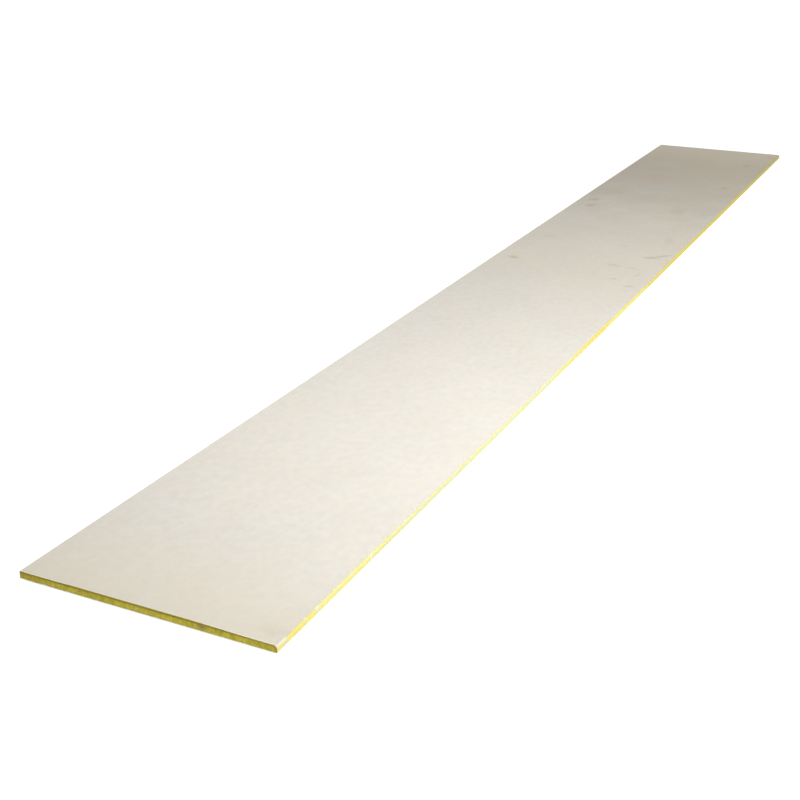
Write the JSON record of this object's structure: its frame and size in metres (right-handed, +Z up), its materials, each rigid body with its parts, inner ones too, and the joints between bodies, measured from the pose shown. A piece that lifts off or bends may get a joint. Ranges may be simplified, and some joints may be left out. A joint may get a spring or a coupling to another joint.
{
  "type": "fiber cement board",
  "caption": "Long thin flat plank of fibre cement with a smooth off-white face and sealed yellow edges; one long edge is rounded over on the face side, the other is square.",
  "frame": {"origin": "middle of the board's underside, on the floor it lies on", "axes": "+X across the board towards the long edge with the rounded arris, +Y along the board, +Z up, out of the smooth face"},
  "size_m": [0.3, 2.4, 0.008],
  "materials": {
    "fibre_cement": "matte"
  },
  "bodies": {
    "root": {"board": "fibre_cement"}
  },
  "joints": []
}
